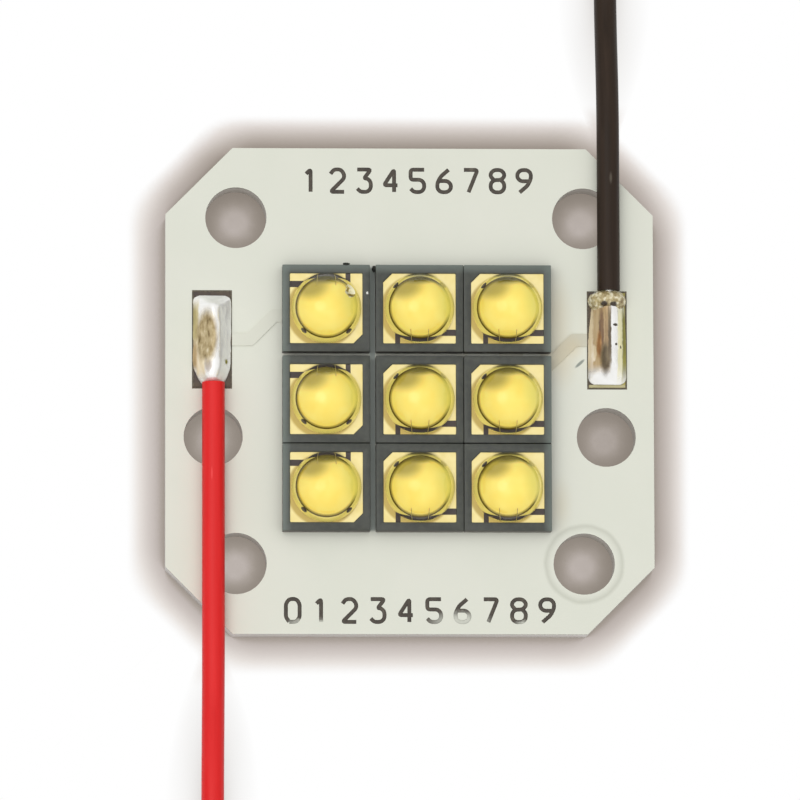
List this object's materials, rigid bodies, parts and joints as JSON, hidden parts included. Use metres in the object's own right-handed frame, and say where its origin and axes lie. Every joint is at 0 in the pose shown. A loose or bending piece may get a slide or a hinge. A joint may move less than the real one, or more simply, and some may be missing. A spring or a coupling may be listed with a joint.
{
  "type": "led array",
  "caption": "Square white metal core LED board with a block of dome lensed emitters, chamfered corners, fixing holes and a red and a black flying lead.",
  "frame": {"origin": "middle of the board's bare back face", "axes": "+Z out of the lit face, +X across the board from the positive pad to the negative pad, +Y along the board towards the side where the negative lead leaves"},
  "size_m": [0.0216, 0.066, 0.004],
  "materials": {
    "aluminium": "rolled sheet with punched edges",
    "dielectric": "filled resin film",
    "copper": "etched copper",
    "white_mask": "white solder mask, satin",
    "led_moulding": "dark moulded resin",
    "gold_plate": "gold plate",
    "chip": "semiconductor",
    "phosphor": "phosphor filled silicone",
    "clear_silicone": "clear moulded silicone",
    "solder": "reflowed solder",
    "tinned_copper": "tinned strands",
    "red_insulation": "extruded plastic, satin",
    "black_insulation": "extruded plastic, satin"
  },
  "bodies": {
    "root": {"base_plate": "aluminium", "dielectric_layer": "dielectric", "copper_tracks": "copper", "solder_mask": "white_mask", "led_solder_joints": "solder", "bond_wires": "gold_plate", "positive_solder": "solder", "negative_solder": "solder", "positive_conductor": "tinned_copper", "negative_conductor": "tinned_copper", "positive_lead": "red_insulation", "negative_lead": "black_insulation", "positive_coil": "red_insulation", "negative_coil": "black_insulation", "led_1_body": "led_moulding", "led_1_leadframe": "gold_plate", "led_1_chip": "chip", "led_1_phosphor": "phosphor", "led_1_lens": "clear_silicone", "led_2_body": "led_moulding", "led_2_leadframe": "gold_plate", "led_2_chip": "chip", "led_2_phosphor": "phosphor", "led_2_lens": "clear_silicone", "led_3_body": "led_moulding", "led_3_leadframe": "gold_plate", "led_3_chip": "chip", "led_3_phosphor": "phosphor", "led_3_lens": "clear_silicone", "led_4_body": "led_moulding", "led_4_leadframe": "gold_plate", "led_4_chip": "chip", "led_4_phosphor": "phosphor", "led_4_lens": "clear_silicone", "led_5_body": "led_moulding", "led_5_leadframe": "gold_plate", "led_5_chip": "chip", "led_5_phosphor": "phosphor", "led_5_lens": "clear_silicone", "led_6_body": "led_moulding", "led_6_leadframe": "gold_plate", "led_6_chip": "chip", "led_6_phosphor": "phosphor", "led_6_lens": "clear_silicone", "led_7_body": "led_moulding", "led_7_leadframe": "gold_plate", "led_7_chip": "chip", "led_7_phosphor": "phosphor", "led_7_lens": "clear_silicone", "led_8_body": "led_moulding", "led_8_leadframe": "gold_plate", "led_8_chip": "chip", "led_8_phosphor": "phosphor", "led_8_lens": "clear_silicone", "led_9_body": "led_moulding", "led_9_leadframe": "gold_plate", "led_9_chip": "chip", "led_9_phosphor": "phosphor", "led_9_lens": "clear_silicone"}
  },
  "joints": []
}
